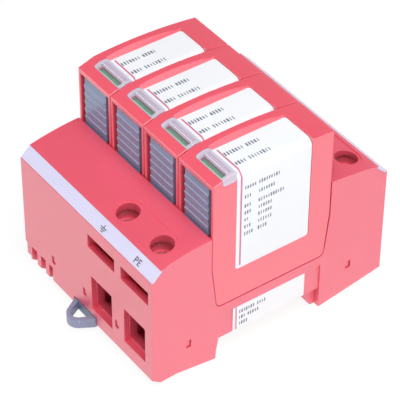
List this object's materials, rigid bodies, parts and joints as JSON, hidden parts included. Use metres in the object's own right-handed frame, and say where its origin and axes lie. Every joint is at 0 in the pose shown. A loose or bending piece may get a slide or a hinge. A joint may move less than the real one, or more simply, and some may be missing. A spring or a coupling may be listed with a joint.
{
  "type": "din rail surge arrester",
  "caption": "Pluggable surge arrester for a top-hat rail: red base with clamp terminals and plug-in modules with status windows, release buttons and folded labels.",
  "frame": {"origin": "middle of the seat that lies on the rail's face", "axes": "+X along the rail, +Y across it away from the earth terminals, +Z out from the rail"},
  "size_m": [0.072, 0.0965, 0.0728],
  "materials": {
    "base_red": "fine moulded grain",
    "plug_red": "satin moulded",
    "foot_grey": "moulded",
    "button_grey": "moulded, ribbed",
    "strip_white": "smooth",
    "label_white": "coated label",
    "window_clear": "clear moulding",
    "flag_green": "moulded",
    "screw_steel": "zinc plated",
    "cage_steel": "zinc plated",
    "contact_copper": "rolled strip",
    "blade_tin": "tinned",
    "varistor_blue": "epoxy coat"
  },
  "bodies": {
    "base": {"base_housing": "base_red", "base_plate": "base_red", "lower_marking_strip": "strip_white", "upper_marking_strip": "strip_white", "base_label": "label_white", "earth_busbar": "contact_copper", "phase_contacts": "contact_copper"},
    "foot": {"rail_foot": "foot_grey"},
    "lower_screw_1": {"lower_screw_1": "screw_steel"},
    "lower_cage_1": {"lower_cage_1": "cage_steel"},
    "lower_screw_2": {"lower_screw_2": "screw_steel"},
    "lower_cage_2": {"lower_cage_2": "cage_steel"},
    "upper_screw_1": {"upper_screw_1": "screw_steel"},
    "upper_cage_1": {"upper_cage_1": "cage_steel"},
    "upper_screw_2": {"upper_screw_2": "screw_steel"},
    "upper_cage_2": {"upper_cage_2": "cage_steel"},
    "upper_screw_3": {"upper_screw_3": "screw_steel"},
    "upper_cage_3": {"upper_cage_3": "cage_steel"},
    "upper_screw_4": {"upper_screw_4": "screw_steel"},
    "upper_cage_4": {"upper_cage_4": "cage_steel"},
    "plug_1": {"plug_housing_1": "plug_red", "plug_floor_1": "plug_red", "status_window_1": "window_clear", "plug_label_1": "label_white", "varistor_1": "varistor_blue", "contact_blades_1": "blade_tin"},
    "front_release_1": {"front_release_1": "button_grey"},
    "rear_release_1": {"rear_release_1": "button_grey"},
    "status_flag_1": {"status_flag_1": "flag_green"},
    "plug_2": {"plug_housing_2": "plug_red", "plug_floor_2": "plug_red", "status_window_2": "window_clear", "plug_label_2": "label_white", "varistor_2": "varistor_blue", "contact_blades_2": "blade_tin"},
    "front_release_2": {"front_release_2": "button_grey"},
    "rear_release_2": {"rear_release_2": "button_grey"},
    "status_flag_2": {"status_flag_2": "flag_green"},
    "plug_3": {"plug_housing_3": "plug_red", "plug_floor_3": "plug_red", "status_window_3": "window_clear", "plug_label_3": "label_white", "varistor_3": "varistor_blue", "contact_blades_3": "blade_tin"},
    "front_release_3": {"front_release_3": "button_grey"},
    "rear_release_3": {"rear_release_3": "button_grey"},
    "status_flag_3": {"status_flag_3": "flag_green"},
    "plug_4": {"plug_housing_4": "plug_red", "plug_floor_4": "plug_red", "status_window_4": "window_clear", "plug_label_4": "label_white", "varistor_4": "varistor_blue", "contact_blades_4": "blade_tin"},
    "front_release_4": {"front_release_4": "button_grey"},
    "rear_release_4": {"rear_release_4": "button_grey"},
    "status_flag_4": {"status_flag_4": "flag_green"}
  },
  "joints": [
    {"name": "foot_slide", "type": "slide", "parent": "base", "child": "foot", "axis": [0, -1, 0], "range_m": [0, 0.004], "stiffness_N_per_m": 1500},
    {"name": "lower_screw_1_turn", "type": "hinge", "parent": "base", "child": "lower_screw_1", "pos_m": [0.0096, -0.035, 0.03], "axis": [0, 0, -1], "range_deg": [0, 4500]},
    {"name": "lower_cage_1_lift", "type": "slide", "parent": "base", "child": "lower_cage_1", "axis": [0, 0, 1], "range_m": [0, 0.01]},
    {"name": "lower_screw_2_turn", "type": "hinge", "parent": "base", "child": "lower_screw_2", "pos_m": [0.0276, -0.035, 0.03], "axis": [0, 0, -1], "range_deg": [0, 4500]},
    {"name": "lower_cage_2_lift", "type": "slide", "parent": "base", "child": "lower_cage_2", "axis": [0, 0, 1], "range_m": [0, 0.01]},
    {"name": "upper_screw_1_turn", "type": "hinge", "parent": "base", "child": "upper_screw_1", "pos_m": [-0.0264, 0.035, 0.03], "axis": [0, 0, -1], "range_deg": [0, 4500]},
    {"name": "upper_cage_1_lift", "type": "slide", "parent": "base", "child": "upper_cage_1", "axis": [0, 0, 1], "range_m": [0, 0.01]},
    {"name": "upper_screw_2_turn", "type": "hinge", "parent": "base", "child": "upper_screw_2", "pos_m": [-0.0084, 0.035, 0.03], "axis": [0, 0, -1], "range_deg": [0, 4500]},
    {"name": "upper_cage_2_lift", "type": "slide", "parent": "base", "child": "upper_cage_2", "axis": [0, 0, 1], "range_m": [0, 0.01]},
    {"name": "upper_screw_3_turn", "type": "hinge", "parent": "base", "child": "upper_screw_3", "pos_m": [0.0096, 0.035, 0.03], "axis": [0, 0, -1], "range_deg": [0, 4500]},
    {"name": "upper_cage_3_lift", "type": "slide", "parent": "base", "child": "upper_cage_3", "axis": [0, 0, 1], "range_m": [0, 0.01]},
    {"name": "upper_screw_4_turn", "type": "hinge", "parent": "base", "child": "upper_screw_4", "pos_m": [0.0276, 0.035, 0.03], "axis": [0, 0, -1], "range_deg": [0, 4500]},
    {"name": "upper_cage_4_lift", "type": "slide", "parent": "base", "child": "upper_cage_4", "axis": [0, 0, 1], "range_m": [0, 0.01]},
    {"name": "plug_1_pull", "type": "slide", "parent": "base", "child": "plug_1", "axis": [0, 0, 1], "range_m": [0, 0.045]},
    {"name": "front_release_1_press", "type": "slide", "parent": "plug_1", "child": "front_release_1", "axis": [0, 1, 0], "range_m": [0, 0.001], "stiffness_N_per_m": 1200},
    {"name": "rear_release_1_press", "type": "slide", "parent": "plug_1", "child": "rear_release_1", "axis": [0, -1, 0], "range_m": [0, 0.001], "stiffness_N_per_m": 1200},
    {"name": "status_flag_1_slide", "type": "slide", "parent": "plug_1", "child": "status_flag_1", "axis": [0, 1, 0], "range_m": [0, 0.003]},
    {"name": "plug_2_pull", "type": "slide", "parent": "base", "child": "plug_2", "axis": [0, 0, 1], "range_m": [0, 0.045]},
    {"name": "front_release_2_press", "type": "slide", "parent": "plug_2", "child": "front_release_2", "axis": [0, 1, 0], "range_m": [0, 0.001], "stiffness_N_per_m": 1200},
    {"name": "rear_release_2_press", "type": "slide", "parent": "plug_2", "child": "rear_release_2", "axis": [0, -1, 0], "range_m": [0, 0.001], "stiffness_N_per_m": 1200},
    {"name": "status_flag_2_slide", "type": "slide", "parent": "plug_2", "child": "status_flag_2", "axis": [0, 1, 0], "range_m": [0, 0.003]},
    {"name": "plug_3_pull", "type": "slide", "parent": "base", "child": "plug_3", "axis": [0, 0, 1], "range_m": [0, 0.045]},
    {"name": "front_release_3_press", "type": "slide", "parent": "plug_3", "child": "front_release_3", "axis": [0, 1, 0], "range_m": [0, 0.001], "stiffness_N_per_m": 1200},
    {"name": "rear_release_3_press", "type": "slide", "parent": "plug_3", "child": "rear_release_3", "axis": [0, -1, 0], "range_m": [0, 0.001], "stiffness_N_per_m": 1200},
    {"name": "status_flag_3_slide", "type": "slide", "parent": "plug_3", "child": "status_flag_3", "axis": [0, 1, 0], "range_m": [0, 0.003]},
    {"name": "plug_4_pull", "type": "slide", "parent": "base", "child": "plug_4", "axis": [0, 0, 1], "range_m": [0, 0.045]},
    {"name": "front_release_4_press", "type": "slide", "parent": "plug_4", "child": "front_release_4", "axis": [0, 1, 0], "range_m": [0, 0.001], "stiffness_N_per_m": 1200},
    {"name": "rear_release_4_press", "type": "slide", "parent": "plug_4", "child": "rear_release_4", "axis": [0, -1, 0], "range_m": [0, 0.001], "stiffness_N_per_m": 1200},
    {"name": "status_flag_4_slide", "type": "slide", "parent": "plug_4", "child": "status_flag_4", "axis": [0, 1, 0], "range_m": [0, 0.003]}
  ],
  "couplings": [
    {"joint": "lower_screw_1_turn", "follows": "lower_cage_1_lift", "rad_per_m": 7853.9},
    {"joint": "lower_screw_2_turn", "follows": "lower_cage_2_lift", "rad_per_m": 7853.9},
    {"joint": "upper_screw_1_turn", "follows": "upper_cage_1_lift", "rad_per_m": 7853.9},
    {"joint": "upper_screw_2_turn", "follows": "upper_cage_2_lift", "rad_per_m": 7853.9},
    {"joint": "upper_screw_3_turn", "follows": "upper_cage_3_lift", "rad_per_m": 7853.9},
    {"joint": "upper_screw_4_turn", "follows": "upper_cage_4_lift", "rad_per_m": 7853.9}
  ]
}
